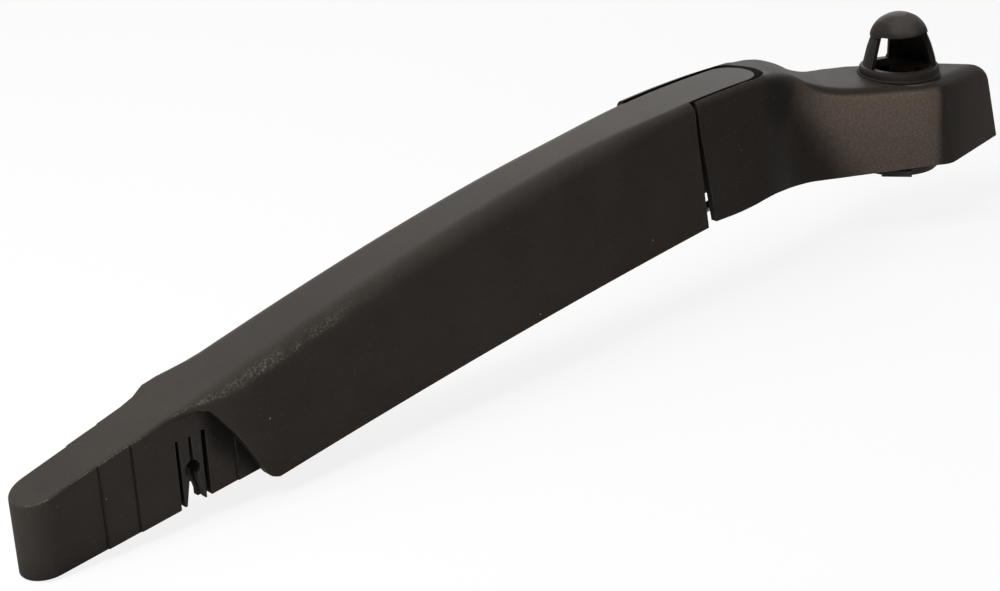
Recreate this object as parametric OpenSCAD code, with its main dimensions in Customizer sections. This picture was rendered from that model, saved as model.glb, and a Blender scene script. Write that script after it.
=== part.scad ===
// Rear wiper arm with a clip-on spray cover, in millimetres.
// The origin is on the spindle's axis, level with the hub's lower face. +Z is up,
// and the arm runs from the head towards -X, ending in the nose that takes the blade.

/* [Arm body] */
// height of the arm's top above the hub face, at the near joint line
top_height = 38.3; // [34:0.1:42]
// height of the arm's lower edge above the hub face, at the near joint line
edge_height = 4.7; // [3:0.1:8]
// half the arm's width at the joint line
half_width = 8.6; // [8:0.1:10]
// how much half the width grows towards the nose, in mm for each mm
widening = 0.0092; // [0:0.0002:0.012]
// distance from the spindle's axis to the arm's middle plane
arm_offset = 3.4; // [2:0.1:5]
// wall thickness of the arm
arm_wall = 2.2; // [1.8:0.1:2.6]
// radius of the arm's upper edges
arm_fillet = 4.7; // [3.5:0.1:5.5]

/* [Nose] */
// where the nose's straight sides end
nose_x = -265.3; // [-270:0.1:-260]
// how far the rounded tip stands out past the straight sides
nose_round = 5.6; // [4:0.1:6]
// half the nose's width at the tip
nose_half = 5.9; // [5.5:0.1:6.5]
// height of the nose's lower edge at the tip
nose_low = -16.8; // [-18:0.1:-15]
// wall thickness of the nose
nose_wall = 1.7; // [1.4:0.1:2]
// how far each of the nose's ledges steps out
rib_step = 0.3; // [0.2:0.05:0.4]
// radius of the round seats for the blade's pin
seat_r = 1.9; // [1.8:0.05:2]
// distance from the nose's tip to the centre of those seats
seat_back = 37.1; // [36:0.1:38]
// height of those seats
seat_z = -4.6; // [-6:0.1:-3.5]

/* [Joint] */
// hinge pin's axis along X
pivot_x = -66; // [-67:0.1:-65]
// how far the hinge pin's axis lies under the arm's top height
pivot_drop = 5.3; // [5:0.1:5.6]
// radius of the hinge pin
pin_r = 2; // [1.8:0.05:2.1]
// running clearance between the hinge pin and its bushes
pin_play = 0.03; // [0.02:0.01:0.08]
// outer radius of the bushes
bush_r = 3; // [2.8:0.1:3.2]
// half the width of the tongue
tongue_half = 6.35; // [6:0.05:6.5]
// gap between the tongue and the near side of its slot
near_gap = 0.45; // [0.4:0.05:0.6]
// gap between the tongue and the far side of its slot
far_gap = 0.85; // [0.7:0.05:1]
// how far the far cheek reaches past the near one
far_reach = 9.3; // [8:0.1:11]

/* [Spring] */
// head's hook pin along X
hook_x = -51.7; // [-52:0.1:-51.4]
// how far the hook pin's axis lies under the arm's top height
hook_drop = 10.5; // [10.2:0.1:10.8]
// arm's anchor pin along X
anchor_x = -140; // [-142:0.1:-138]
// how far the anchor pin's axis lies under the arm's top height
anchor_drop = 18.3; // [17.8:0.1:18.8]
// radius of the hook pin
hook_r = 1.5; // [1.4:0.05:1.6]
// radius of the anchor pin
anchor_r = 1.75; // [1.6:0.05:1.85]
// radius of the hook's wire
hook_wire = 1.25; // [1.1:0.05:1.35]
// radius of the spring's wire
coil_wire = 0.65; // [0.55:0.05:0.7]
// mean radius of the spring's coils
coil_r = 3.4; // [3.2:0.1:3.6]
// distance from the hook pin to the eye at the hook's far end
hook_reach = 47.7; // [46:0.1:49]
// how deep the hook bows under the hinge pin
hook_bow = 19.8; // [18:0.1:21]
// gap between neighbouring coils
coil_gap = 0.07; // [0.05:0.01:0.12]

/* [Head] */
// height of the head's flat top over the spindle
head_top = 25.4; // [24.5:0.1:26.5]
// height of the head's lower edge by the hub
head_low = 2.5; // [2:0.1:3.5]
// wall thickness of the head
head_wall = 2.4; // [2:0.1:2.8]
// radius of the round opening over the spindle nut
nut_hole_r = 8.6; // [8.3:0.1:8.8]

/* [Hub] */
// radius of the hub's lower collar
hub_r = 11.4; // [10:0.1:11.5]
// radius of the hub's sleeve inside the head
sleeve_r = 8; // [7.5:0.1:8.2]
// radius of the plain bore for the spindle
bore_r = 4.5; // [4:0.05:4.8]
// height of the hub
hub_height = 15.5; // [14:0.1:17]

/* [Spray cover] */
// radius of the cover's base ring
ring_r = 11; // [10.5:0.1:11.2]
// height of the base ring
ring_height = 2.6; // [2.2:0.1:3]
// radius of the dome at its foot
dome_r = 9.8; // [9.5:0.1:10]
// height of the cover over the head's flat top
cover_height = 17.1; // [16:0.1:18]
// wall thickness of the cover
cover_wall = 1.3; // [1.1:0.1:1.6]

/* [Hidden] */
$fn = 64;
tip_x = nose_x - nose_round;
seat_x = tip_x + seat_back;
seam_x = pivot_x - 17.5;
tongue_x = pivot_x + 1.7;
slot_mid = tongue_x + 1.9;
slot_end = tongue_x + 10;
ear_y = tongue_half - 1.75;
ear_half = 1;
boss_gap = 0.2;
landing_r = ring_r + 0.2;
pivot_z = top_height - pivot_drop;
hook_z = top_height - hook_drop;
anchor_z = top_height - anchor_drop;
plate = 2.2;

// General helpers.
function flat(l) = [for (a = l) for (b = a) b];
function smooth(t) = let(u = min(1, max(0, t))) u * u * (3 - 2 * u);
function mean(r) = [for (k = [0:2]) (max([for (p = r) p[k]]) + min([for (p = r) p[k]])) / 2];
function cr(a, b, c, d, t) = 0.5 * (2 * b + (c - a) * t + (2 * a - 5 * b + 4 * c - d) * t * t
    + (3 * b - a - 3 * c + d) * t * t * t);
function spline(p, n) = concat([for (i = [0:len(p) - 2]) for (k = [0:n - 1])
    cr(p[max(i - 1, 0)], p[i], p[i + 1], p[min(i + 2, len(p) - 1)], k / n)], [p[len(p) - 1]]);

// A solid through a row of rings that all have the same number of points.
module skin(rings) {
    n = len(rings);
    m = len(rings[0]);
    side = [for (i = [0:n - 2]) for (j = [0:m - 1])
        let(a = i * m + j, b = i * m + (j + 1) % m) each [[a, b, b + m], [a, b + m, a + m]]];
    head_cap = [for (j = [0:m - 1]) [n * m, (j + 1) % m, j]];
    tail_cap = [for (j = [0:m - 1]) [n * m + 1, (n - 1) * m + j, (n - 1) * m + (j + 1) % m]];
    polyhedron(concat(flat(rings), [mean(rings[0]), mean(rings[n - 1])]),
        concat(side, head_cap, tail_cap), convexity = 10);
}

// A flat outline drawn in X and Z, given a thickness along Y.
module slab(points, y0, y1) {
    translate([0, y1, 0]) rotate([90, 0, 0]) linear_extrude(y1 - y0) polygon(points);
}

// A round bar along Y.
module bar(x, z, r, y0, y1) {
    translate([x, y1, z]) rotate([90, 0, 0]) cylinder(r = r, h = y1 - y0);
}

// The long lines of the arm, seen from the side.
function q(x) = (x - seam_x) / 100;
function z_top(x) = top_height + 5.89 * q(x) - 12.17 * pow(q(x), 2) - 2.21 * pow(q(x), 3);
function z_low(x) = edge_height + 10.37 * q(x) - 2.33 * pow(q(x), 2);
function level(x, f) = z_low(x) + f * (z_top(x) - z_low(x));
function nose_bottom(x) = nose_low + 0.133 * (x - nose_x);
ledges = [tip_x + 16.4, tip_x + 24, seat_x + 10.5];
function nose_w(x) = nose_half + 0.018 * (x - nose_x) + rib_step * len([for (l = ledges) if (x > l) l]);
function body_w(x) = half_width + widening * (seam_x - x);
function blend(x, s) = s < 0 ? smooth((x + 239) / 19) : smooth((x + 239.4) / 7);
function skin_w(x, s) = nose_w(x) * (1 - blend(x, s)) + body_w(x) * blend(x, s);
function skin_r(x) = 0.7 + (arm_fillet - 0.7) * smooth((x + 238) / 18)
    - (arm_fillet - 2.6) * smooth((x + 125) / 38);

// One ring of the arm's section at x, drawn in by the given inset.
function arm_ring(x, inset, drop, deep, r) = let(tuck = 0.05 * (1 - smooth((x + 249) / 4)),
    side = 0.05 * (1 - smooth((x + 241) / 3)), w = skin_w(x, -1) - inset - side, v = skin_w(x, 1) - inset - side,
    t = z_top(x) - drop - tuck, b = z_low(x) - deep)
    concat([[x, arm_offset - w, b], [x, arm_offset - w, (b + t) / 2]],
        [for (a = [0:15:90]) [x, arm_offset - w + r * (1 - cos(a)), t - r + r * sin(a)]],
        [for (a = [90:-15:0]) [x, arm_offset + v - r * (1 - cos(a)), t - r + r * sin(a)]],
        [[x, arm_offset + v, (b + t) / 2], [x, arm_offset + v, b]]);
arm_stations = [for (k = [0:1:50]) let(x = -248 + k * 3.44) min(x, -76)];

// Side outline that keeps only what lies on the nose side of the joint line.
function left_of_seam(shift) = [[-300, -60], [seam_x + 10.9 + shift, -60], [seam_x + 3.5 + shift, edge_height - 3.7],
    [seam_x - 1.5 + shift, top_height - 6.3], [seam_x - 2.5 + shift, top_height + 2.7],
    [seam_x - 2.9 + shift, top_height + 11.7], [-300, top_height + 11.7]];
// Side outline of what the arch over the blade seat takes away. First its roof, as depths under the
// arm's top, then its side, as shares of the arm's height.
arch_roof = [[-15.2, 0.9], [-6.2, 0.9], [-2.2, 1], [0.4, 1.4], [2.2, 2], [3.6, 3]];
arch_side = [[4.8, 0.857], [9.8, 0.559], [14.3, 0.24], [15.6, 0.132], [17.3, 0.04], [20.5, -0.018]];
arch_line = spline(concat([for (p = arch_roof) [seat_x + p[0], z_top(seat_x + p[0]) - p[1]]],
    [for (p = arch_side) [seat_x + p[0], level(seat_x + p[0], p[1])]]), 3);
arch_cut = concat([[seat_x - 28, -60], [seat_x - 28, z_top(seat_x - 28) - 1]], arch_line, [[seat_x + 21.2, -60]]);

// Plan outline of the nose's hollow: a rounded tip and two slowly widening sides.
near_ledges = [for (l = ledges) for (d = [-0.02, 0.02]) l + d];
nose_stations = concat([nose_x + 3.3], near_ledges, [-200]);
hollow_plan = concat([for (x = nose_stations) [x, arm_offset - nose_w(x) + nose_wall]],
    [for (i = [7:-1:0]) [nose_stations[i], arm_offset + nose_w(nose_stations[i]) - nose_wall]],
    [for (a = [80:-8:-80]) [nose_x - (nose_round - nose_wall) * cos(a),
        arm_offset + (nose_half - nose_wall) * sin(a)]]);

// One ring of the nose at x, seen from the tip.
function nose_ring(x, w, sink, r) = let(b = nose_bottom(x),
    t = z_top(x) - sink - 0.08 * smooth((x + 249) / 3) - 0.7 * smooth((x + 244) / 7))
    concat([[x, arm_offset - w, b], [x, arm_offset - w, (b + t) / 2]],
        [for (a = [0:22.5:90]) [x, arm_offset - w + r * (1 - cos(a)), t - r + r * sin(a)]],
        [for (a = [90:-22.5:0]) [x, arm_offset + w - r * (1 - cos(a)), t - r + r * sin(a)]],
        [[x, arm_offset + w, (b + t) / 2], [x, arm_offset + w, b]]);
nose_edge = 0.6;
tip_steps = [0, 0.04, 0.12, 0.25, 0.42, 0.6, 0.9, 1.3, 1.8, 2.4, 3.1, 3.9, 4.7];
function tip_w(d) = nose_half * sqrt(1 - pow(1 - (d + 0.03) / (nose_round + 0.03), 2));
function tip_sink(d) = d > nose_edge ? 0 : nose_edge - sqrt(pow(nose_edge, 2) - pow(nose_edge - d, 2));

module nose() {
    difference() {
        skin(concat([for (d = tip_steps) nose_ring(nose_x - nose_round + d, tip_w(d), tip_sink(d),
                min(nose_edge, 0.6 * tip_w(d)))],
            [for (x = concat([nose_x, nose_x + 3.3, nose_x + 7.3], [for (k = [0:1]) near_ledges[k]], [-250.5],
                [for (k = [2:3]) near_ledges[k]], [-243, -241, -239, -237, -235, -231, -227],
                [for (k = [4:5]) near_ledges[k]], [-214, -203])) nose_ring(x, nose_w(x), 0, nose_edge)]));
        intersection() {
            translate([0, 0, -60]) linear_extrude(100) polygon(hollow_plan);
            slab(concat([[-280, -60], [-280, z_top(-280) - plate]],
                [for (x = [-270:6:-204]) [x, z_top(x) - plate]],
                [[-198, z_top(-198) - plate], [-198, -60]]), -20, 30);
        }
        seats();
    }
}

// The round snap seat for the blade's pin with the throat below it and a narrow slit above it.
module seat() {
    bar(seat_x, seat_z, seat_r, -20, 30);
    slab([for (p = [[-0.5, 0], [-0.35, 7.2], [0.35, 7.2], [0.5, 0]]) [seat_x + p[0], seat_z + p[1]]], -20, 30);
    slab([for (p = [[-1.15, 0], [-1.15, -3], [-2.2, -8.4], [-2.2, -16], [2.3, -16], [2.3, -7], [1.15, -2.6],
        [1.15, 0]]) [seat_x + p[0], seat_z + p[1]]], -20, 30);
}
// The seats in the nose's walls stand between two slits that let them spring.
module seats() {
    seat();
    for (c = [[[-3.6, -16], [-3.5, 7.2], [-2.7, 7.2], [-2.6, -16]], [[2.6, -16], [2.7, 7.7], [3.8, 7.7], [3.9, -16]],
        [[-3.6, -16], [-3.6, -8.2], [3.8, -7.6], [3.8, -16]]])
        slab([for (p = c) [seat_x + p[0], seat_z + p[1]]], -20, 30);
}

// Two inner cheeks beside the blade's bracket, with the same seat but without the slits.
module inner_cheeks() {
    difference() {
        for (y = [nose_wall + 0.3 - nose_half, nose_half - nose_wall - 1.7]) slab(concat([for (p = [[7.6, -6.8], [5.2, -8.4], [-5.6, -8.4]])
            [seat_x + p[0], seat_z + p[1]]], [for (d = [-5.6:2.2:7.6]) [seat_x + d, z_top(seat_x + d) - 1]]),
            arm_offset + y, arm_offset + y + 1.4);
        seat();
    }
}

// Top plate's tongue that turns inside the head's slot, and the ears that carry the bushes.
module tongue() {
    intersection() {
        slab(concat([for (x = [-98:2:-56]) [x, z_top(x) - 0.06 * (1 - smooth((x + 98) / 12))]],
            [for (x = [-56:-2:-98]) [x, z_top(x) - plate]]), -20, 30);
        translate([0, 0, -10]) linear_extrude(80) union() {
            translate([-98, arm_offset - tongue_half]) square([98 + tongue_x, 2 * tongue_half]);
            translate([tongue_x, arm_offset]) scale([1.01, 1]) circle(r = tongue_half);
        }
    }
    for (s = [-1, 1]) ear(arm_offset + s * ear_y);
}
module ear(y) {
    bar(pivot_x, pivot_z, bush_r + 1.6, y - ear_half, y + ear_half);
    slab(concat([for (x = [-42, -38, -4]) [pivot_x + x, z_top(pivot_x + x) - 3.4]], [[pivot_x + 0.5, pivot_z - 2],
        [pivot_x + 3.8, pivot_z + 2]], [for (x = [3.8, -4, -18, -34, -42]) [pivot_x + x, z_top(pivot_x + x) - 1.4]]),
        y - ear_half, y + ear_half);
}

module arm_body() {
    color([0.17, 0.155, 0.145]) difference() {
        union() {
            difference() {
                skin([for (x = arm_stations) arm_ring(x, 0, 0, 0, skin_r(x))]);
                skin([for (x = concat([-236], [for (k = [0:1:38]) -232 + k * 4.1]))
                    arm_ring(x, arm_wall, plate, 9, 2.4)]);
                slab(arch_cut, -20, 30);
                difference() {
                    translate([-110, -20, -40]) cube([60, 20 + arm_offset, 100]);
                    slab(left_of_seam(0), -30, 30);
                }
                difference() {
                    translate([-110, arm_offset, -40]) cube([60, 30, 100]);
                    slab(left_of_seam(-far_reach), -30, 60);
                }
            }
            nose();
            inner_cheeks();
            tongue();
            lugs();
        }
        bar(pivot_x, pivot_z, bush_r, arm_offset - ear_y - ear_half, arm_offset + ear_y + ear_half);
        bar(anchor_x, anchor_z, anchor_r, arm_offset - lug_y + 1, arm_offset + lug_y - 1);
    }
}
// Inner lugs for the anchor pin and cross ribs under the roof.
lug_y = body_w(anchor_x) - arm_wall + 0.3;
module lugs() {
    for (s = [-1, 1]) {
        slab([[anchor_x - 4, anchor_z], [anchor_x - 4, z_top(anchor_x - 4) - 1],
            [anchor_x + 4, z_top(anchor_x + 4) - 1], [anchor_x + 4, anchor_z]],
            arm_offset + (s < 0 ? -lug_y : lug_y - 3), arm_offset + (s < 0 ? 3 - lug_y : lug_y));
        bar(anchor_x, anchor_z, 4, arm_offset + (s < 0 ? -lug_y : lug_y - 3),
            arm_offset + (s < 0 ? 3 - lug_y : lug_y));
    }
    for (x = [-200, -180, -160]) slab([[x - 0.8, z_top(x) - 7], [x - 0.8, z_top(x) - 1.9],
        [x + 0.8, z_top(x) - 1.9], [x + 0.8, z_top(x) - 7]],
        arm_offset - body_w(x) + arm_wall - 0.3, arm_offset + body_w(x) - arm_wall + 0.3);
}

// The head's top: level over the spindle, rising in a rounded hump to the arm's own top line.
// Each pair is a place along X and the share of the step from the head's top to the arm's top.
ridge = [[-60, 1.047], [-54, 1.008], [-50, 0.946], [-47, 0.868], [-44, 0.775], [-41, 0.667],
    [-38, 0.543], [-35, 0.403], [-32, 0.302], [-29, 0.217], [-26, 0.155], [-22, 0.101], [-16, 0.054],
    [-8, 0.023], [0, 0.000], [12, -0.027], [20, -0.070], [28, -0.124], [40, -0.202]];
function head_z(x, y) = let(s = x - 0.5 * (y - arm_offset) * smooth((x + 62) / 12))
    s < -58 ? z_top(x) : min(z_top(min(x, -54)), head_top + (top_height - head_top) * lookup(s, ridge));

// Plan of the head: near point, far point, edge radius and lower edge height, row after row.
// The last rows lie along the end wall, which is drawn in at its corners.
plan = [
    [-97, -5.2, -97, 13.5, 2.2, 6, 1, 1], [-90, -5.2, -90, 13.5, 2.2, 6, 1, 1],
    [-83, -5.2, -83, 13.5, 2.2, 6, 1, 1], [-76, -5.2, -76, 13.4, 2.2, 5.9, 1, 1],
    [-70, -5.2, -70, 13.3, 2.2, 5.9, 1, 1], [-64, -5.1, -63, 13.2, 2.4, 6.2, 1, 1],
    [-59, -4.8, -56, 13.2, 2.6, 6.6, 1, 1], [-54, -3.9, -49.5, 13.2, 3.0, 6.5, 1, 1],
    [-49, -2.2, -42, 13.8, 3.0, 5.6, 1.05, 1], [-44, -0.2, -34, 14.8, 3.0, 4.5, 1.1, 1],
    [-39, 1.1, -26, 16.2, 3.0, 3.6, 1.1, 1], [-34, 1.4, -18, 17.5, 3.0, 3.0, 1.1, 1.05],
    [-29.5, 0.4, -11, 17.8, 2.8, 2.6, 1.15, 1.1], [-25, -1.6, -3.5, 15.8, 2.6, 2.5, 1.3, 1.2]];
function end_row(d, bn, bf, wide) = let(xn = (0.911 * d - 12.6) / 0.623, xf = (12.6 + wide + 0.804 * d) / 0.769,
    yn = (0.19 * xn - d) / 0.98, yf = (0.19 * xf - d) / 0.98, u = [xf - xn, yf - yn] / norm([xf - xn, yf - yn]))
    [xn + bn * u[0], yn + bn * u[1], xf - bf * u[0], yf - bf * u[1], 2.8,
        head_low - 0.5 * smooth((d - 10.5) / 3), 1.5, 1.4];
end_steps = concat([for (d = [-0.6, 1, 3, 5.5, 8, 10]) [d, 0]],
    [for (a = [0:15:90]) [11 + 3.6 * sin(a), a]]);
// Draft of the end wall and of the far wall: how far the lower edge stands out.
function draft(d) = 1.25 * smooth((d + 4) / 18);
function end_rows(side) = [for (e = end_steps) end_row(e[0] + side * draft(e[0]), 3.6 * (1 - cos(e[1])),
    3 * (1 - cos(e[1])), 0.4 + side * 1)];
top_rows = concat(spline(plan, 3), end_rows(-1));
low_rows = concat(spline(plan, 3), end_rows(1));
n_spline = len(spline(plan, 3));

// One ring of the head, from the near lower edge over the top to the far lower edge.
// Its sides lean with the draft, so that every ring lies in one slanted plane.
function mix(l, t, z, z0) = let(f = (z - z0) / (head_top - z0)) l * (1 - f) + t * f;
function edge_pt(l, p, i, z, z0, u, off) = let(g = mix([l[i], l[i + 1]], [p[i], p[i + 1]], z, z0) + u * off)
    [g[0], g[1], z];
function head_ring(k) = let(p = top_rows[k], l = low_rows[k], a = [p[0], p[1]], b = [p[2], p[3]],
    u = (b - a) / norm(b - a), e = k < n_spline ? 0 : end_steps[k - n_spline][1], sink = 3.2 * (1 - cos(e)),
    r = p[4], ra = r * p[6], rb = r * p[7], z0 = p[5], c = a + u * ra, d = b - u * rb,
    za = head_z(c[0], c[1]) - sink, zb = head_z(d[0], d[1]) - sink)
    concat([edge_pt(l, p, 0, z0, z0, u, 0), edge_pt(l, p, 0, (z0 + za - r) / 2, z0, u, 0)],
        [for (t = [0:15:90]) edge_pt(l, p, 0, za - r * (1 - sin(t)), z0, u, ra * (1 - cos(t)))],
        [for (f = [0.12:0.152:0.9]) let(g = c + (d - c) * f, z = head_z(g[0], g[1]) - sink,
            m = mix([l[0] + (l[2] - l[0]) * 0.5, l[1] + (l[3] - l[1]) * 0.5],
                [p[0] + (p[2] - p[0]) * 0.5, p[1] + (p[3] - p[1]) * 0.5], z, z0)
            - [p[0] + (p[2] - p[0]) * 0.5, p[1] + (p[3] - p[1]) * 0.5]) [g[0] + m[0], g[1] + m[1], z]],
        [for (t = [90:-15:0]) edge_pt(l, p, 2, zb - r * (1 - sin(t)), z0, u, -rb * (1 - cos(t)))],
        [edge_pt(l, p, 2, (z0 + zb - r) / 2, z0, u, 0), edge_pt(l, p, 2, z0, z0, u, 0)]);

function right_of_seam(shift) = [[seam_x + 43, -60], [seam_x + 13.9 + shift, -60],
    [seam_x + 5.5 + shift, edge_height + 1.8], [seam_x + 0.1 + shift, top_height - 8.3],
    [seam_x - 0.7 + shift, top_height - 4.3], [seam_x - 0.8 + shift, top_height - 1.3],
    [seam_x - 0.3 + shift, top_height + 11.7], [seam_x + 43, top_height + 11.7]];

module head_housing() {
    color([0.19, 0.17, 0.155]) difference() {
        union() {
            difference() {
                skin([for (k = [0:len(top_rows) - 1]) head_ring(k)]);
                difference() {
                    translate([-110, -30, -40]) cube([60, 30 + arm_offset, 100]);
                    slab(right_of_seam(0), -40, 40);
                }
                difference() {
                    translate([-120, arm_offset, -40]) cube([70, 40, 100]);
                    slab(right_of_seam(-far_reach), -40, 60);
                }
                slot();
                pocket();
                neck_hollow();
                end_hollow();
            }
            translate([0, 0, head_top - 4]) cylinder(r = landing_r, h = 4);
            bar(pivot_x, pivot_z, 3.3, arm_offset - tongue_half - near_gap - 0.5,
                arm_offset - ear_y - ear_half - boss_gap);
            bar(pivot_x, pivot_z, 3.3, arm_offset + ear_y + ear_half + boss_gap,
                arm_offset + tongue_half + far_gap + 0.5);
        }
        translate([0, 0, head_top]) cylinder(r = landing_r, h = 10);
        bar(pivot_x, pivot_z, pin_r, arm_offset - half_width + 0.8, 60);
        bar(hook_x, hook_z, hook_r, arm_offset - 5.4, arm_offset + 8);
        translate([0, 0, head_low - 10]) cylinder(r = sleeve_r, h = hub_height - head_low + 10);
        translate([0, 0, hub_height - 0.01]) cylinder(r = nut_hole_r, h = 30);
    }
}
// The slot in the top: U-shaped, open towards the arm, and open below.
module slot() {
    translate([0, 0, -30]) linear_extrude(100) union() {
        translate([-130, arm_offset - tongue_half - near_gap])
            square([130 + slot_mid, 2 * tongue_half + near_gap + far_gap]);
        translate([slot_mid, arm_offset + (far_gap - near_gap) / 2])
            scale([(slot_end - slot_mid) / (tongue_half + (near_gap + far_gap) / 2), 1])
            circle(r = tongue_half + (near_gap + far_gap) / 2);
    }
}
// The roofed pocket beyond the slot, where the spring's hook hangs on its pin.
module pocket() {
    intersection() {
        translate([hook_x, arm_offset, -30]) linear_extrude(50 + top_height)
            polygon([[-12.3, -6.6], [-6.3, -6], [-2.3, -4.9], [1.7, -3.3], [5.2, -2], [5.2, 5.2],
                [-0.3, 6.4], [-12.3, 7]]);
        slab([[hook_x - 14.3, -30], [hook_x - 14.3, top_height - 3.3], [hook_x - 2.3, top_height - 3.3],
            [hook_x + 1.7, top_height - 4.1], [hook_x + 5.7, top_height - 5.7],
            [hook_x + 7.7, top_height - 7.3], [hook_x + 7.7, -30]], -10, 20);
    }
}
// Two hollows moulded in from below, to keep the walls even.
near_line = concat([for (p = plan) [p[0], p[1]]],
    [for (d = [-0.6, 3]) let(e = end_row(d, 0, 0, 0.4)) [e[0], e[1]]]);
far_line = [for (p = plan) [p[2], p[3]]];
function near_y(x) = lookup(x, near_line);
function far_y(x) = lookup(x, far_line);
module round_spindle() {
    translate([0, 0, -6]) cylinder(r = landing_r + head_wall, h = head_top + 10);
}
module neck_hollow() {
    difference() {
        translate([0, 0, -5]) linear_extrude(head_top + 0.6)
            polygon(concat([for (x = [-44:4:-12]) [x, near_y(x) + head_wall + 0.6]],
                [for (x = [-12:-4:-44]) [x, far_y(x) - head_wall - 1.2]]));
        round_spindle();
    }
}
module end_hollow() {
    a = end_row(13.9 - head_wall, 0, 0, -0.13 - head_wall);
    b = end_row(-2.1 - head_wall, 0, 0, -0.13 - head_wall);
    difference() {
        translate([0, 0, -5]) linear_extrude(head_top - 0.4)
            polygon([[a[0], a[1]], [a[2], a[3]], [b[2], b[3]]]);
        round_spindle();
    }
}

// Spray cover: a thin dome with a wide window, a small one, and a clip skirt in the nut's opening.
// The lines are shares of the dome's radius and of the cover's height.
cone = [
    [1, 0.1637], [0.969, 0.2456], [0.929, 0.3392], [0.878, 0.4503], [0.816, 0.5789], [0.776, 0.6608]];
brim = [[0.811, 0.6754], [0.806, 0.6959]];
crown = [
    [0.786, 0.731], [0.75, 0.7719], [0.709, 0.8099], [0.658, 0.845], [0.602, 0.8801],
    [0.536, 0.9094], [0.464, 0.9327], [0.378, 0.9591], [0.255, 0.9854], [0, 1]];
function dome(line) = [for (p = line) [p[0] * dome_r, head_top + p[1] * cover_height]];
// The same line drawn in by the wall, square to the surface.
function drawn_in(p) = [for (i = [0:len(p) - 2]) let(t = p[i + 1] - p[max(i - 1, 0)])
    p[i] + cover_wall * [-t[1], t[0]] / norm(t)];
inner_line = concat([[0, head_top - 1], [nut_hole_r - 1.4, head_top - 1], [nut_hole_r, head_top + 1.8]],
    drawn_in(dome(concat([for (i = [1:5]) cone[i]], [for (i = [1:len(crown) - 1]) crown[i]]))),
    [[0, head_top + cover_height - cover_wall]]);
clip_line = [[nut_hole_r - 2, 0], [nut_hole_r - 0.5, 0.4], [nut_hole_r - 0.2, 2], [nut_hole_r - 0.5, 3],
    [nut_hole_r - 0.5, 5.5], [nut_hole_r - 2, 5.5]];
module spray_cover() {
    color([0.12, 0.11, 0.105]) difference() {
        union() {
            rotate_extrude($fn = 72) polygon(concat([[0, head_top], [ring_r - 0.15, head_top],
                [ring_r, head_top + 0.15], [ring_r, head_top + 0.6], [ring_r - 0.25, head_top + 0.85],
                [ring_r - 0.35, head_top + ring_height - 0.5], [ring_r - 0.7, head_top + ring_height]],
                dome(concat(cone, brim, crown))));
            for (a = [30, 150, 270]) rotate(a) intersection() {
                translate([0, 0, head_top - 5]) rotate_extrude($fn = 72) polygon(clip_line);
                translate([0, -3.5, head_top - 6]) cube([12, 7, 7]);
            }
        }
        rotate_extrude($fn = 72) polygon(inner_line);
        window(169, 299, head_top + ring_height + 0.2, window_top);
        window(58, 114, head_top + ring_height - 0.7, window_top);
    }
}
window_top = head_top + brim[0][1] * cover_height;
// An opening through the cover's wall between two angles and two heights.
module window(a0, a1, z0, z1) {
    intersection() {
        translate([0, 0, z0]) linear_extrude(z1 - z0)
            polygon(concat([[0, 0]],
                [for (k = [0:12]) let(a = a0 + (a1 - a0) * k / 12) 20 * [cos(a), sin(a)]]));
        difference() {
            cylinder(r = 16, h = 60);
            translate([0, 0, -1]) cylinder(r = 3, h = 62);
        }
    }
}

// Metal hub: lower collar with its index key, sleeve, plain bore and the splines above it.
module spindle_hub() {
    color([0.4, 0.4, 0.41]) difference() {
        union() {
            cylinder(r = hub_r - 0.4, h = 0.4);
            translate([0, 0, 0.4]) cylinder(r = hub_r, h = head_low - 0.4);
            cylinder(r = sleeve_r, h = hub_height);
            rotate(219.5) translate([hub_r - 5.9, -4, 0]) cube([6.4, 8, 1.6]);
        }
        translate([0, 0, -1]) cylinder(r = bore_r, h = 20);
        translate([0, 0, 8]) linear_extrude(20) polygon([for (k = [0:71])
            (k % 2 == 0 ? bore_r + 0.5 : bore_r - 0.1) * [cos(5 * k), sin(5 * k)]]);
    }
}

module hinge_pin() {
    color([0.62, 0.62, 0.63])
        bar(pivot_x, pivot_z, pin_r, arm_offset - half_width + 0.8, arm_offset + half_width - 0.1);
}
module bush(s) {
    color([0.55, 0.53, 0.42]) difference() {
        bar(pivot_x, pivot_z, bush_r, arm_offset + s * ear_y - ear_half, arm_offset + s * ear_y + ear_half);
        bar(pivot_x, pivot_z, pin_r + pin_play, arm_offset - 7, arm_offset + 7);
    }
}
module near_bush() {
    bush(-1);
}
module far_bush() {
    bush(1);
}

// Direction from the hook pin to the anchor pin, and the hook's shape along and across it, as
// shares of the hook's reach and of its bow.
spring_dir = atan2(anchor_z - hook_z, anchor_x - hook_x);

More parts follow.
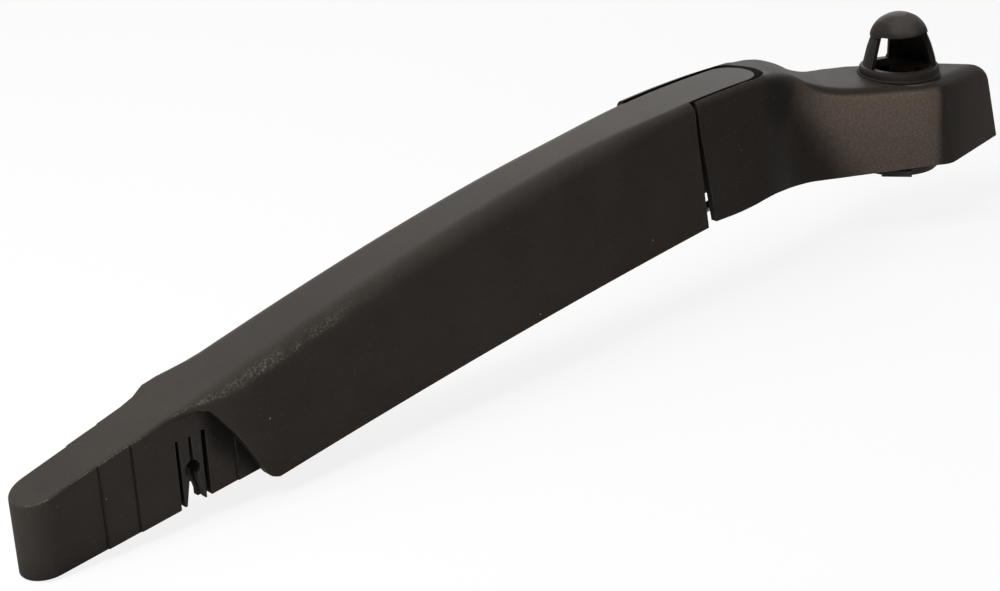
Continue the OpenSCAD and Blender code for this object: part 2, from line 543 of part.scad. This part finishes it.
// Round wire swept along a line of points in the arm's middle plane.
function wire_ring(p, t, r, m) = let(n = [-t[1], t[0]]) [for (j = [0:m - 1]) let(a = 360 * j / m)
    [p[0] + n[0] * r * cos(a), arm_offset + r * sin(a), p[1] + n[1] * r * cos(a)]];
hook_shape = [[0.0299, 0.1255], [0.0637, 0.3008], [0.1593, 0.5543], [0.2713, 0.7941],
    [0.3953, 0.9604], [0.5188, 1.0000], [0.6358, 0.8585], [0.7223, 0.5765],
    [0.7875, 0.2888], [0.8728, 0.0881], [0.9604, 0.0086]];
hook_line = spline([for (p = hook_shape) let(u = p[0] * hook_reach, w = p[1] * hook_bow)
    [hook_x + u * cos(spring_dir) - w * sin(spring_dir), hook_z + u * sin(spring_dir) + w * cos(spring_dir)]], 4);
module spring_hook() {
    color([0.5, 0.5, 0.5]) {
        difference() {
            union() {
                translate([hook_x, arm_offset, hook_z]) rotate([90, 0, 0])
                    rotate_extrude() translate([hook_r + 0.05 + hook_wire, 0]) circle(r = hook_wire, $fn = 24);
                skin([for (i = [0:len(hook_line) - 1]) let(a = hook_line[max(i - 1, 0)],
                    b = hook_line[min(i + 1, len(hook_line) - 1)], t = (b - a) / norm(b - a))
                    wire_ring(hook_line[i], t, hook_wire, 12)]);
            }
            bar(hook_x, hook_z, hook_r + 0.05, arm_offset - 4, arm_offset + 4);
        }
        translate([hook_x, arm_offset, hook_z]) rotate([0, -spring_dir, 0]) translate([hook_reach, 0, 0])
            rotate([90, 0, 0]) rotate_extrude() translate([eye_r, 0]) circle(r = hook_tip, $fn = 24);
    }
}

// Close-wound spring along the line between the two pins, with a long eye on the anchor pin.
// Lengths here are measured from the hook pin along that line.
pins_apart = norm([anchor_x - hook_x, anchor_z - hook_z]);
eye_r = 1.9;
hook_tip = 1;
end_loop_r = 3;
loop_x = hook_reach + eye_r + end_loop_r - hook_tip - coil_wire - 0.01;
spring_from = loop_x + 1.1;
spring_to = pins_apart - 6.29;
coil_turns = floor((spring_to - spring_from) / (2 * coil_wire + coil_gap));
eye_play = 0.1;
eye_slack = 1.71;
long_r = anchor_r + eye_play + coil_wire;
eye_line = concat([[spring_to - 0.2, -coil_r], [spring_to + 0.8, -3.3], [spring_to + 2, -2.95],
    [spring_to + 3.4, -long_r - 0.1]], [[pins_apart, -long_r]],
    [for (a = [-90:22.5:90]) [pins_apart + eye_slack + long_r * cos(a), long_r * sin(a)]],
    [for (a = [90:22.5:204]) [pins_apart + long_r * cos(a), long_r * sin(a)]]);
module coil_spring() {
    color([0.45, 0.45, 0.46]) translate([hook_x, 0, hook_z]) rotate([0, -spring_dir, 0]) {
        steps = 10;
        skin([for (i = [0:coil_turns * steps]) let(a = 360 * i / steps,
            x = spring_from + (spring_to - spring_from) * i / (coil_turns * steps))
            [for (j = [0:5]) let(b = 60 * j) [x + coil_wire * sin(b),
                arm_offset + (coil_r + coil_wire * cos(b)) * cos(a), (coil_r + coil_wire * cos(b)) * sin(a)]]]);
        intersection() {
            translate([loop_x, arm_offset, 0]) rotate_extrude() translate([end_loop_r, 0])
                circle(r = coil_wire, $fn = 16);
            translate([loop_x - 10, arm_offset - 10, -5]) cube([10 + spring_from - loop_x, 20, 10]);
        }
        skin([for (i = [0:len(eye_line) - 1]) let(a = eye_line[max(i - 1, 0)],
            b = eye_line[min(i + 1, len(eye_line) - 1)], t = (b - a) / norm(b - a))
            wire_ring(eye_line[i], t, coil_wire, 8)]);
    }
}

module hook_pin() {
    color([0.62, 0.62, 0.63]) bar(hook_x, hook_z, hook_r, arm_offset - 5.4, arm_offset + 8);
}
module anchor_pin() {
    color([0.62, 0.62, 0.63]) bar(anchor_x, anchor_z, anchor_r, arm_offset - lug_y + 1, arm_offset + lug_y - 1);
}

arm_body();
head_housing();
spray_cover();
spindle_hub();
hinge_pin();
near_bush();
far_bush();
spring_hook();
coil_spring();
hook_pin();
anchor_pin();
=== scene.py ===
import math
import bmesh
import bpy
from mathutils import Matrix, Vector


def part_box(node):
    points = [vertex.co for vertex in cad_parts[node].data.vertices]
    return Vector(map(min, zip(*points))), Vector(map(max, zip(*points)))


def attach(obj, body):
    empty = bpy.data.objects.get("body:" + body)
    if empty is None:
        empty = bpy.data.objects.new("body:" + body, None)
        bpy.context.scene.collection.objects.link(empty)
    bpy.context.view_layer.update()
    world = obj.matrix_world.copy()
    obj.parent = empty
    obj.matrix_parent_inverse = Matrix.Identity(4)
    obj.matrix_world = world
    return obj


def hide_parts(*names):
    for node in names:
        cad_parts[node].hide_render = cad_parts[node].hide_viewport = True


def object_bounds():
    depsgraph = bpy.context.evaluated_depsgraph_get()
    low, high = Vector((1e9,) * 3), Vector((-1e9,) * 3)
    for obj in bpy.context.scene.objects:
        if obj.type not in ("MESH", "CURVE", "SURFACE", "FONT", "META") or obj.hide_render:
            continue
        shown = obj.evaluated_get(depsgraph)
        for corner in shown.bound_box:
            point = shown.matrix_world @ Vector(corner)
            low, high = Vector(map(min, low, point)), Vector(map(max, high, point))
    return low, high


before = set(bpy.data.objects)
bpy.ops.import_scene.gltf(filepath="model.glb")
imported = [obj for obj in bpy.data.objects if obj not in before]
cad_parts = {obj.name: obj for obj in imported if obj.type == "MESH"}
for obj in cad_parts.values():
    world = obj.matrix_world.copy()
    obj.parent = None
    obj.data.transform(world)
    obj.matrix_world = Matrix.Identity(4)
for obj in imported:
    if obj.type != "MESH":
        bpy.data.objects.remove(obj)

cad_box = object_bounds()
MM = 0.001

# Camera, floor and lamps.
# The camera looks along the arm from beyond its nose and a little above it. The arm lies over a plain pale
# floor, which stays white in the picture and keeps a soft shadow, under three square soft boxes.
scene = bpy.context.scene
scene.view_settings.view_transform = "Standard"


def placed(name, data):
    """An object for this mesh, lamp or camera, put into the scene at the origin."""
    thing = bpy.data.objects.new(name, data)
    scene.collection.objects.link(thing)
    return thing


eye = Vector((-425.03, -324.81, 184.94)) * MM
right = Vector((0.74605, -0.66461, -0.04124))
above = Vector((0.28568, 0.26352, 0.92138))
back = right.cross(above).normalized()
above = back.cross(right).normalized()
lens = bpy.data.cameras.new("camera")
lens.sensor_width = 36
lens.lens = 72.52
lens.clip_start = 0.01
lens.clip_end = 20
camera = placed("camera", lens)
camera.matrix_world = Matrix.Translation(eye) @ Matrix((right, above, back)).transposed().to_4x4()
scene.camera = camera

floor_half = 6.0
floor_z = cad_box[0][2] - 0.2 * MM
floor_corners = [(x * floor_half, y * floor_half, floor_z) for x, y in ((-1, -1), (1, -1), (1, 1), (-1, 1))]
floor_mesh = bpy.data.meshes.new("floor")
floor_mesh.from_pydata(floor_corners, [], [(0, 1, 2, 3)])
floor = placed("floor", floor_mesh)


class Sock:
    """A shader socket that can be used in plain arithmetic."""

    def __init__(self, tree, socket=None):
        self.tree, self.socket = tree, socket

    def node(self, kind, out=0, settings=(), **values):
        """One node of this kind, its settings first. i0 is its first socket, From_Min its socket From Min."""
        made = self.tree.nodes.new(kind)
        for name, value in dict(settings).items():
            setattr(made, name, value)
        for name, value in values.items():
            numbered = name[0] == "i" and name[1:].isdigit()
            slot = made.inputs[int(name[1:]) if numbered else name.replace("_", " ")]
            if isinstance(value, Sock):
                self.tree.links.new(value.socket, slot)
            else:
                slot.default_value = value
        return Sock(self.tree, made.outputs[out])

    def other(self, out):
        """Another output of the same node."""
        return Sock(self.tree, self.socket.node.outputs[out])

    def math(self, what, a, b):
        return self.node("ShaderNodeMath", settings={"operation": what}, i0=a, i1=b)

    def __add__(self, b): return self.math("ADD", self, b)
    def __radd__(self, b): return self.math("ADD", b, self)
    def __sub__(self, b): return self.math("SUBTRACT", self, b)
    def __rsub__(self, b): return self.math("SUBTRACT", b, self)
    def __mul__(self, b): return self.math("MULTIPLY", self, b)
    def __rmul__(self, b): return self.math("MULTIPLY", b, self)
    def most(self, b): return self.math("MAXIMUM", self, b)
    def over(self, b): return self.math("GREATER_THAN", self, b)

    def between(self, low, high):
        """0 below low, 1 above high, smooth between."""
        return self.node("ShaderNodeMapRange", settings={"interpolation_type": "SMOOTHSTEP"}, Value=self,
            From_Min=low, From_Max=high, To_Min=0.0, To_Max=1.0)

    def blend(self, a, b):
        """Colour a where this is 0, colour b where it is 1."""
        a, b = (c if isinstance(c, Sock) else (*c, 1.0) for c in (a, b))
        return self.node("ShaderNodeMix", 2, {"data_type": "RGBA"}, i0=self, i6=a, i7=b)

    def dot(self, b):
        return self.node("ShaderNodeVectorMath", "Value", {"operation": "DOT_PRODUCT"}, i0=self, i1=b)

    def stretched(self, by):
        """This place with each of its three numbers multiplied."""
        return self.node("ShaderNodeVectorMath", settings={"operation": "MULTIPLY"}, i0=self, i1=by)

    def noise(self, scale, detail=2.0, roughness=0.5):
        """Cloudy noise at this place, from 0 to 1."""
        return self.node("ShaderNodeTexNoise", Vector=self, Scale=scale, Detail=detail, Roughness=roughness)

    def bump(self, strength, depth, **more):
        """A normal that shows this pattern as dents of this depth in metres."""
        return self.node("ShaderNodeBump", Strength=strength, Distance=depth, Height=self, **more)


def white_to_the_eye(lit, glow, share, out):
    """White where the camera, a gloss or a glass looks, and the plain lit shader for all other light."""
    ray = lit.node("ShaderNodeLightPath", "Is Camera Ray")
    seen = ray.most(ray.other("Is Glossy Ray")).most(ray.other("Is Transmission Ray"))
    white = lit.node(glow, Color=(1, 1, 1, 1), Strength=1.0)
    mixed = lit.node("ShaderNodeMixShader", i0=seen * share, i1=lit, i2=white)
    lit.tree.links.new(mixed.socket, lit.tree.nodes.new(out).inputs["Surface"])


paper = bpy.data.materials.new("floor_paper")
paper.use_nodes = True
paper.node_tree.nodes.clear()
paper_lit = Sock(paper.node_tree).node("ShaderNodeBsdfDiffuse", Color=(0.86, 0.86, 0.86, 1))
white_to_the_eye(paper_lit, "ShaderNodeEmission", 0.86, "ShaderNodeOutputMaterial")
floor_mesh.materials.append(paper)

world = bpy.data.worlds.new("studio")
scene.world = world
world.use_nodes = True
world.node_tree.nodes.clear()
room = Sock(world.node_tree).node("ShaderNodeBackground", Color=(1, 1, 1, 1), Strength=0.02)
white_to_the_eye(room, "ShaderNodeBackground", 1.0, "ShaderNodeOutputWorld")


def soft_lamp(name, over, turn, rise, away, size, watts):
    """A square soft box that looks at the arm at x = over, from this far away, turned from +X and raised from
    the floor by these degrees."""
    lamp = bpy.data.lights.new(name, "AREA")
    lamp.shape = "SQUARE"
    lamp.size = size
    lamp.energy = watts
    aim = Vector((over, 0.0, 10 * MM))
    turn, rise = math.radians(turn), math.radians(rise)
    out = Vector((math.cos(rise) * math.cos(turn), math.cos(rise) * math.sin(turn), math.sin(rise)))
    facing = out.to_track_quat("Z", "Y").to_matrix().to_4x4()
    placed(name, lamp).matrix_world = Matrix.Translation(aim + away * out) @ facing


soft_lamp("nose_lamp", over=-0.20, turn=184, rise=56, away=0.75, size=0.42, watts=6.9)
soft_lamp("back_lamp", over=-0.12, turn=90, rise=60, away=1.1, size=0.6, watts=3.0)
soft_lamp("low_back_lamp", over=-0.12, turn=45, rise=25, away=1.1, size=0.6, watts=2.5)

# Arm body.
# One moulding in glass-filled black-brown plastic: the hollow arm, its nose with the seats for the blade's
# pin, and the tongue at the joint. The mould gives it a fine grain; its edges are rubbed a little paler and
# carry a painted highlight, and its corners and hollows carry painted shade.


def finish_named(name, metallic=0.0, specular=0.5):
    """A new material, and the place on the piece that its patterns are made from."""
    material = bpy.data.materials.new(name)
    material.use_nodes = True
    shader = material.node_tree.nodes["Principled BSDF"]
    shader.inputs["Metallic"].default_value = metallic
    shader.inputs["Specular IOR Level"].default_value = specular
    return material, Sock(material.node_tree).node("ShaderNodeTexCoord", "Object")


def feed(material, **values):
    """Links these nodes to the material's shader."""
    shader = material.node_tree.nodes["Principled BSDF"]
    for name, value in values.items():
        material.node_tree.links.new(value.socket, shader.inputs[name.replace("_", " ")])


def scattered(place, scale):
    """The distance to the nearest of many scattered points, and that point's own chance from 0 to 1."""
    distance = place.node("ShaderNodeTexVoronoi", Vector=place, Scale=scale)
    return distance, place.node("ShaderNodeSeparateColor", i0=distance.other("Color"))


def axes(place):
    """How far a place lies along the arm, across it and up."""
    along = place.node("ShaderNodeSeparateXYZ", i0=place)
    return along, along.other(1), along.other(2)


def moulded(name, dark, light, roughness, grain, sparkle, place_marks, specular=0.07):
    """Moulded plastic: pebbled grain, slow colour drift, bright grains, paler edges that are partly rubbed
    and partly a painted highlight, painted shade in corners and hollows, and a little dust. place_marks adds
    what shows at one place on the piece."""
    material, place = finish_named(name, specular=specular)
    pebble = place.node("ShaderNodeTexVoronoi", settings={"feature": "SMOOTH_F1"}, Vector=place, Scale=2300.0,
        Smoothness=0.6)
    fine = place.noise(3400.0, 3.0, 0.65)
    slow = place.noise(75.0, 4.0, 0.55)
    flow = place.noise(16.0)
    bright = place.noise(1500.0, 2.0, 0.8).between(0.62, 0.78)
    soft_edge = place.node("ShaderNodeBevel", settings={"samples": 6}, Radius=0.3 * MM)
    flat = place.node("ShaderNodeNewGeometry", "Normal")
    lie = flat.dot((0.0, 0.0, 1.0))
    upright = 1 - (lie * lie).between(0.10, 0.60)
    edge_wear_and_highlight = (1 - soft_edge.dot(flat)).between(0.02, 0.25) * (0.45 + 0.9 * slow)
    open_air = place.node("ShaderNodeAmbientOcclusion", "AO", {"samples": 6}, Distance=9 * MM)
    distance, chance = scattered(place, 130.0)
    dust = (1 - distance.between(0.012, 0.034)) * chance.over(0.86)
    pale = tuple(min(1.0, c * 3.0 + 0.04) for c in light)
    tone = (slow * 0.55 + flow * 0.45).between(0.30, 0.70).blend(dark, light)
    tone, bright = place_marks(place, lie, tone, bright)
    tone = (bright * sparkle).blend(tone, pale)
    # Paler edges: partly rubbing wear, partly a painted highlight along them.
    tone = (edge_wear_and_highlight * 0.5).blend(tone, pale)
    # Painted shade: the colour is darkened in corners, creases and hollows, where shade falls.
    tone = (0.80 * (1 - open_air.between(0.30, 0.92))).blend(tone, (0.005, 0.0042, 0.0038))
    tone = (dust * 0.75).blend(tone, (0.36, 0.34, 0.32))
    feed(material, Base_Color=tone, Roughness=roughness - 0.06 + slow * 0.14 - edge_wear_and_highlight * 0.08 + upright * 0.2,
        Normal=(pebble * 0.6 + fine * 0.7).bump(grain, 0.06 * MM, Normal=soft_edge))
    return material


def smooth_copy(name, node, limit):
    """A merged copy of a CAD node, shaded smooth except where two faces meet at more than the limit."""
    mesh = bpy.data.meshes.new(name)
    work = bmesh.new()
    work.from_mesh(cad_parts[node].data)
    bmesh.ops.remove_doubles(work, verts=work.verts, dist=0.004 * MM)
    bmesh.ops.dissolve_degenerate(work, edges=work.edges, dist=0.001 * MM)
    for edge in work.edges:
        edge.smooth = len(edge.link_faces) == 2 and edge.calc_face_angle(0.0) < math.radians(limit)
    for face in work.faces:
        face.smooth = True
        face.material_index = 0
    work.to_mesh(mesh)
    work.free()
    if "custom_normal" in mesh.attributes:
        mesh.attributes.remove(mesh.attributes["custom_normal"])
    piece = placed(name, mesh)
    even = piece.modifiers.new("even", "WEIGHTED_NORMAL")
    even.keep_sharp = True
    even.weight = 60
    return piece


nose_middle = 3.4
nose_recess_half = 7.9
nose_ledges = (-254.5, -247.0, -223.3)


def nose_marks(place, lie, tone, bright):
    """Painted shade as dark lines where the nose's ledges step out, a painted shadow under the arch, and
    speckled paler rims on the nose and before the arch, partly scuffing and partly a painted highlight."""
    along, across, height = axes(place)
    off_middle = across - nose_middle * MM
    in_recess = 1 - (off_middle * off_middle).over((nose_recess_half * MM) ** 2)
    side = (1 - lie.between(0.3, 0.7)) * (lie + 1.0).between(0.3, 0.7) * in_recess
    # Painted shade: a dark line on the side at each ledge, where its step lies in shade.
    for ledge in nose_ledges:
        off_ledge = (along - (ledge - 0.1) * MM) * (1 / MM)
        line = 1 - (off_ledge * off_ledge).between(0.015, 0.17)
        tone = (line * side * 0.8).blend(tone, (0.006, 0.005, 0.0045))
    # Painted shadow under the arch's lip, on the recess's side.
    slanted = (along + height * 0.98).between(-234.5 * MM, -226.2 * MM)
    starts, ends = along.between(-232.5 * MM, -227.5 * MM), 1 - along.between(-208 * MM, -203 * MM)
    tone = (slanted * starts * ends * side * 0.95).blend(tone, (0.005, 0.0045, 0.0038))
    # The fillet's speckled paler rim: partly scuffing, partly a painted highlight along the lit edge.
    rim = lie.between(0.30, 0.52) * (1 - lie.between(0.66, 0.90)) * (1 - along.between(-214 * MM, -178 * MM))
    scuff = place.noise(2100.0, 3.0, 0.75).between(0.44, 0.62)
    patchy = place.noise(160.0).between(0.28, 0.60)
    tone = (rim * scuff * patchy * 0.62).blend(tone, (0.17, 0.15, 0.13))
    return tone, bright


arm_finish = moulded("arm_plastic", (0.0300, 0.0252, 0.0215), (0.0390, 0.0335, 0.0288), roughness=0.50,
    grain=0.55, sparkle=0.25, place_marks=nose_marks)
arm = smooth_copy("arm_moulding", "arm_body", 24)
arm.data.materials.append(arm_finish)
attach(arm, "arm")
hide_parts("arm_body")

# Head housing.
# The second moulding, over the spindle, in the same plastic with a coarser grain. Its side walls carry
# painted
# light: they are painted lighter and browner. The arm's tongue turns in its U-shaped slot, and the slot's
# walls lean back a little at the top.


def head_painted_light(place, lie, tone, bright):
    """Painted light: the side walls before the spindle painted lighter and browner, more so towards the top,
    with bright specks, and the end face painted a little lighter too; and painted shade in the hollow before
    the hump."""
    along, _, height = axes(place)
    drift = place.noise(110.0, 3.0, 0.55)
    begins = (along + (height - 18 * MM) * 0.8 + drift * 0.006).between(-38 * MM, -23 * MM)
    ends = 1 - (along + drift * 0.002).between(0.2 * MM, 3.4 * MM)
    upright = (1 - lie.between(0.30, 0.72)) * (lie + 1.0).between(0.2, 0.5)
    wall = begins * ends * upright * (0.72 + 0.28 * height.between(4 * MM, 24 * MM))
    end_face = (along + drift * 0.004).between(6 * MM, 30 * MM) * upright * 0.30
    distance, chance = scattered(place, 1700.0)
    wall_specks = (1 - distance.between(0.20, 0.45)) * chance.between(0.2, 1.0) * wall
    mottle = place.noise(2300.0, 2.0, 0.7).between(0.30, 0.70)
    # Painted light: the side walls and the end face are painted lighter and browner, with bright specks.
    tone = (wall + end_face).blend(tone, mottle.blend((0.104, 0.079, 0.064), (0.146, 0.113, 0.092)))
    tone = (wall_specks * 0.5).blend(tone, (0.215, 0.180, 0.150))
    # Painted shade in the hollow before the hump.
    from_hollow = place.node("ShaderNodeVectorMath", "Value", {"operation": "DISTANCE"}, i0=place,
        i1=(-50.5 * MM, -3.5 * MM, 32.5 * MM))
    tone = ((1 - from_hollow.between(4.5 * MM, 12.5 * MM)) * 0.75).blend(tone, (0.004, 0.004, 0.003))
    return tone, bright * (1 - wall)


head_finish = moulded("head_plastic", (0.0235, 0.0192, 0.0165), (0.0310, 0.0260, 0.0225), roughness=0.50,
    grain=0.8, sparkle=0.40, place_marks=head_painted_light)
head = smooth_copy("head_moulding", "head_housing", 24)
head.data.materials.append(head_finish)

# The slot's place and its walls' lean at the top edge, in millimetres. A point lies on the wall if it is off
# by less than this share of the slot's half width.
slot_middle = 3.6
slot_half = 7.0
slot_straight_to = -62.4
slot_end = -54.3
slot_over = 30
far_lean = 0.65
near_lean = 0.3
on_the_wall = 0.02
for point in head.data.vertices:
    x, y, z = (c / MM for c in point.co)
    if z > slot_over and x < slot_end + 0.2:
        round_the_end = max(0.0, (x - slot_straight_to) / (slot_end - slot_straight_to))
        reach = (y - slot_middle) / slot_half
        if abs(math.hypot(round_the_end, reach) - 1) < on_the_wall:
            point.co.y += (far_lean if reach > 0 else -near_lean) * MM * reach ** 2
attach(head, "head")
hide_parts("head_housing")

# Spray cover.
# A thin dome that clips into the opening over the spindle's nut, and leans a little towards the arm on its
# ring. It is moulded smoother than the arm, so its crown has a soft shine, and its crown carries a painted
# highlight.


def crown_painted_highlight(place, lie, tone, bright):
    """A painted highlight on the crown, on its front and its top, in soft streaks down from its top."""
    normal = place.node("ShaderNodeNewGeometry", "Normal")
    facing = normal.dot((-0.32, -0.67, 0.67))
    streak = place.stretched((330.0, 330.0, 60.0)).noise(1.0)
    crown = axes(place)[2].between(36.2 * MM, 37.5 * MM)
    # Painted highlight on the crown.
    painted_highlight = crown * (facing.between(0.72, 0.99) * 0.75 + lie.between(0.75, 1.0) * 0.3) * (0.35 + streak)
    return painted_highlight.blend(tone, (0.075, 0.067, 0.061)), bright


def eased(v, low, high):
    """0 below low, 1 above high, smooth between, as Sock.between does it for a shader."""
    t = min(1.0, max(0.0, (v - low) / (high - low)))
    return t * t * (3 - 2 * t)


cover_finish = moulded("cover_plastic", (0.0175, 0.0148, 0.0128), (0.0250, 0.0214, 0.0188), roughness=0.42,
    grain=0.22, sparkle=0.10, place_marks=crown_painted_highlight, specular=0.05)
cover = smooth_copy("cover_dome", "spray_cover", 32)
cover.data.materials.append(cover_finish)

# The heights and moves of the dome's points, in millimetres. The crown is narrower by a share of its width.
ring_top = 28.2
window_top = 36.95
dome_top = 42.5
window_faces = math.radians(234)
window_lift = 0.9
lift_from = 35.0
crown_narrower = 0.04
crown_from = 33.0
crown_to = 37.5
lean = math.radians(5.0)
lean_over = 3.0
for point in cover.data.vertices:
    x, y, z = (c / MM for c in point.co)
    if z > ring_top:
        over_window = eased(math.cos(math.atan2(y, x) - window_faces), 0.3, 0.7)
        lift = window_lift * over_window * eased(z, lift_from, window_top)
        z += lift * (1 - eased(z, window_top, dome_top))
        inward = 1 - crown_narrower * eased(z, crown_from, crown_to)
        x, y, up = x * inward, y * inward, z - ring_top
        turn = lean * eased(up, 0.0, lean_over)
        point.co.x = (x * math.cos(turn) - up * math.sin(turn)) * MM
        point.co.y = y * MM
        point.co.z = (ring_top + up * math.cos(turn) + x * math.sin(turn)) * MM
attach(cover, "head")
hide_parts("spray_cover")

# Spindle hub.
# A die-cast insert in the head, dark coated, with turned faces and the index key that fits one way round.
# The head is moulded round it, and its lower collar shows under the head.
hub_finish, hub_place = finish_named("hub_metal", metallic=0.2, specular=0.15)
turned = hub_place.node("ShaderNodeTexWave", 1, {"wave_type": "RINGS", "rings_direction": "Z"},
    Vector=hub_place, Scale=900.0)
cast = hub_place.noise(900.0, 4.0)
stain = hub_place.noise(120.0, 3.0).between(0.3, 0.7)
feed(hub_finish, Base_Color=stain.blend((0.020, 0.021, 0.019), (0.040, 0.040, 0.037)),
    Roughness=0.42 + cast * 0.2, Normal=(turned * 0.3 + cast).bump(0.35, 0.03 * MM))
hub = smooth_copy("hub_casting", "spindle_hub", 30)
hub.data.materials.append(hub_finish)
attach(hub, "head")
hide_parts("spindle_hub")

# Hinge pin, hook pin and anchor pin.
# Ground steel pins pressed into the mouldings, the first two into the head and the last into the arm, with
# fine marks round them from grinding.
pin_finish, pin_place = finish_named("pin_steel", metallic=1.0)
ground = pin_place.stretched((300.0, 9000.0, 300.0)).noise(1.0, 3.0, 0.6)
film = pin_place.noise(240.0, 3.0).between(0.35, 0.7)
feed(pin_finish, Base_Color=film.blend((0.52, 0.51, 0.50), (0.60, 0.60, 0.61)),
    Roughness=0.22 + ground * 0.2, Normal=ground.bump(0.3, 0.02 * MM))
for cad_pin, pressed_into in (("hinge_pin", "head"), ("hook_pin", "head"), ("anchor_pin", "arm")):
    pin = smooth_copy("steel_" + cad_pin, cad_pin, 30)
    pin.data.materials.append(pin_finish)
    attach(pin, pressed_into)
    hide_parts(cad_pin)

# Bushes.
# Two plain sleeves in natural low-friction plastic, pressed into the ears of the tongue. The hinge pin runs
# in them.
bush_finish, bush_place = finish_named("bush_plastic")
cloud = bush_place.noise(420.0, 4.0)
feed(bush_finish, Base_Color=cloud.between(0.3, 0.7).blend((0.47, 0.44, 0.35), (0.55, 0.52, 0.43)),
    Roughness=0.34 + cloud * 0.16, Normal=cloud.bump(0.25, 0.04 * MM))
for cad_bush in ("near_bush", "far_bush"):
    bush = smooth_copy("sleeve_" + cad_bush, cad_bush, 30)
    bush.data.materials.append(bush_finish)
    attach(bush, "arm")
    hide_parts(cad_bush)

# Spring hook.
# Thick drawn wire, bent to pass under the hinge pin, with a dark phosphate skin that is rubbed bright in
# patches.
wire_finish, wire_place = finish_named("spring_steel", metallic=0.9)
skin = wire_place.noise(520.0, 5.0, 0.6)
rub = wire_place.noise(95.0, 3.0).between(0.55, 0.75)
phosphate = skin.between(0.3, 0.7).blend((0.10, 0.10, 0.10), (0.17, 0.168, 0.165))
feed(wire_finish, Base_Color=rub.blend(phosphate, (0.34, 0.335, 0.33)),
    Roughness=0.34 + skin * 0.22 - rub * 0.1, Normal=skin.bump(0.4, 0.03 * MM))
hook = smooth_copy("wire_hook", "spring_hook", 40)
hook.data.materials.append(wire_finish)
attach(hook, "spring_link")
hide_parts("spring_hook")

# Coil spring.
# One length of spring wire: an end loop through the hook's eye, close-wound coils, and a long eye that
# slides on the arm's anchor pin. The wire is swept along its own path, with all sizes in millimetres.
wire_r = 0.65
wire_sides = 12
coil_r = 3.4
turns = 22
steps_a_turn = 24
loop_r = 3.0
hook_reach = 47.7
hook_eye_r = 1.9
hook_wire_r = 1.0
anchor_r = 1.75
eye_gap = 0.1
eye_slack = 1.71
loop_gap = 0.01
loop_to_coils = 1.1
coils_to_anchor = 6.29


def middle_of(node):
    """The middle of a node's box in the frame, in millimetres."""
    low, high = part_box(node)
    return [(a + b) / 2 / MM for a, b in zip(low, high)]


def bend(middle, r, first, step, count):
    """Points round a bend of the wire, seen flat: along the spring, and to one side. Angles in degrees."""
    angles = [math.radians(first + step * k) for k in range(count)]
    return [(middle + r * math.cos(a), r * math.sin(a)) for a in angles]


hook_pin_x, _, hook_pin_z = middle_of("hook_pin")
anchor_x, middle_y, anchor_z = middle_of("anchor_pin")
slope = math.atan2(anchor_z - hook_pin_z, anchor_x - hook_pin_x)
pins_apart = math.hypot(anchor_x - hook_pin_x, anchor_z - hook_pin_z)
loop_at = hook_reach + hook_eye_r + loop_r - hook_wire_r - wire_r - loop_gap
coils_from = loop_at + loop_to_coils
coils_to = pins_apart - coils_to_anchor
coil_steps = steps_a_turn * turns
long_r = anchor_r + eye_gap + wire_r

wire_path = [(u, v, 0.0) for u, v in bend(loop_at, loop_r, 288, -8, 28)]
for k in range(1, coil_steps - steps_a_turn // 4):
    turn = math.tau * k / steps_a_turn
    u = coils_from + (coils_to - coils_from) * k / coil_steps
    wire_path.append((u, coil_r * math.cos(turn), coil_r * math.sin(turn)))
# Where the wire leaves the coils for the long eye, it follows listed points.
wire_path += [(coils_to + 0.25, -0.1, -3.38), (coils_to + 1.0, 0.0, -3.26), (coils_to + 2.0, 0.0, -2.95),
    (coils_to + 3.4, 0.0, -long_r - 0.1), (pins_apart, 0.0, -long_r)]
long_eye = bend(pins_apart + eye_slack, long_r, -90, 10, 19) + bend(pins_apart, long_r, 90, 10, 13)
wire_path += [(u, 0.0, w) for u, w in long_eye]
wire_points = [Vector((hook_pin_x + u * math.cos(slope) - w * math.sin(slope), middle_y + v,
    hook_pin_z + u * math.sin(slope) + w * math.cos(slope))) * MM for u, v, w in wire_path]
path_mesh = bpy.data.meshes.new("spring_path")
path_mesh.from_pydata(wire_points, [(k, k + 1) for k in range(len(wire_points) - 1)], [])
path_object = placed("spring_path", path_mesh)

sweep = bpy.data.node_groups.new("sweep_wire", "GeometryNodeTree")
sweep.interface.new_socket("Geometry", in_out="INPUT", socket_type="NodeSocketGeometry")
sweep.interface.new_socket("Geometry", in_out="OUTPUT", socket_type="NodeSocketGeometry")
sweeper = path_object.modifiers.new("sweep", "NODES")
wanted = {}
for name, kind, value in (("Wire radius", "Float", wire_r * MM), ("Sides", "Int", wire_sides),
        ("Finish", "Material", wire_finish)):
    socket = sweep.interface.new_socket(name, in_out="INPUT", socket_type="NodeSocket" + kind)
    wanted[socket.identifier] = value
chain = [sweep.nodes.new(kind) for kind in ("NodeGroupInput", "GeometryNodeMeshToCurve",
    "GeometryNodeCurveToMesh", "GeometryNodeSetShadeSmooth", "GeometryNodeRealizeInstances",
    "GeometryNodeSetMaterial", "NodeGroupOutput")]
for before, after in zip(chain, chain[1:]):
    sweep.links.new(before.outputs[0], after.inputs[0])
entry, to_mesh, paint = chain[0], chain[2], chain[5]
ring = sweep.nodes.new("GeometryNodeCurvePrimitiveCircle")
sweep.links.new(entry.outputs["Sides"], ring.inputs["Resolution"])
sweep.links.new(entry.outputs["Wire radius"], ring.inputs["Radius"])
sweep.links.new(ring.outputs["Curve"], to_mesh.inputs["Profile Curve"])
sweep.links.new(entry.outputs["Finish"], paint.inputs["Material"])
to_mesh.inputs["Fill Caps"].default_value = True
sweeper.node_group = sweep
for identifier, value in wanted.items():
    sweeper[identifier] = value
ready = path_object.evaluated_get(bpy.context.evaluated_depsgraph_get())
spring_mesh = bpy.data.meshes.new_from_object(ready)
spring_mesh.name = "extension_spring"
bpy.data.objects.remove(path_object)
spring = placed("extension_spring", spring_mesh)
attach(spring, "spring_link")
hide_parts("coil_spring")
